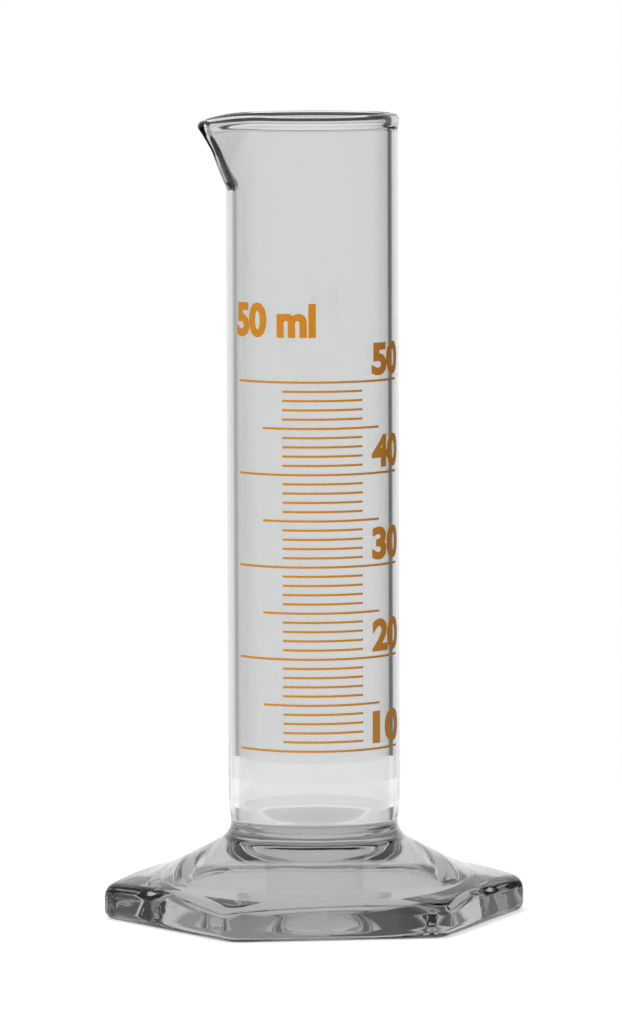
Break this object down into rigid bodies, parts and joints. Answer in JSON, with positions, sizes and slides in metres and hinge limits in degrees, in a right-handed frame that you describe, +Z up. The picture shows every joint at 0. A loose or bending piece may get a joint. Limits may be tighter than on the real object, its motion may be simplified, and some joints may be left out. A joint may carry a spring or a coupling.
{
  "type": "graduated cylinder",
  "caption": "Low form glass graduated cylinder: straight tube with a beaded rim and pouring lip, fused into a pressed hexagonal foot, with an amber enamel volume scale.",
  "frame": {"origin": "centre of the foot on the surface that it stands on", "axes": "+Z up along the tube; the pouring lip points along -X; the scale faces -Y; the foot has corners on the X axis and flats across the Y axis"},
  "size_m": [0.077, 0.068, 0.1463],
  "materials": {
    "tube_glass": "clear, fire polished",
    "pressed_glass": "clear, pressed and fire polished",
    "amber_enamel": "fired enamel, satin"
  },
  "bodies": {
    "root": {"tube": "tube_glass", "foot": "pressed_glass", "neck_seal": "pressed_glass", "graduation_10_ml": "amber_enamel", "graduation_11_ml": "amber_enamel", "graduation_12_ml": "amber_enamel", "graduation_13_ml": "amber_enamel", "graduation_14_ml": "amber_enamel", "graduation_15_ml": "amber_enamel", "graduation_16_ml": "amber_enamel", "graduation_17_ml": "amber_enamel", "graduation_18_ml": "amber_enamel", "graduation_19_ml": "amber_enamel", "graduation_20_ml": "amber_enamel", "graduation_21_ml": "amber_enamel", "graduation_22_ml": "amber_enamel", "graduation_23_ml": "amber_enamel", "graduation_24_ml": "amber_enamel", "graduation_25_ml": "amber_enamel", "graduation_26_ml": "amber_enamel", "graduation_27_ml": "amber_enamel", "graduation_28_ml": "amber_enamel", "graduation_29_ml": "amber_enamel", "graduation_30_ml": "amber_enamel", "graduation_31_ml": "amber_enamel", "graduation_32_ml": "amber_enamel", "graduation_33_ml": "amber_enamel", "graduation_34_ml": "amber_enamel", "graduation_35_ml": "amber_enamel", "graduation_36_ml": "amber_enamel", "graduation_37_ml": "amber_enamel", "graduation_38_ml": "amber_enamel", "graduation_39_ml": "amber_enamel", "graduation_40_ml": "amber_enamel", "graduation_41_ml": "amber_enamel", "graduation_42_ml": "amber_enamel", "graduation_43_ml": "amber_enamel", "graduation_44_ml": "amber_enamel", "graduation_45_ml": "amber_enamel", "graduation_46_ml": "amber_enamel", "graduation_47_ml": "amber_enamel", "graduation_48_ml": "amber_enamel", "graduation_49_ml": "amber_enamel", "graduation_50_ml": "amber_enamel"}
  },
  "joints": []
}
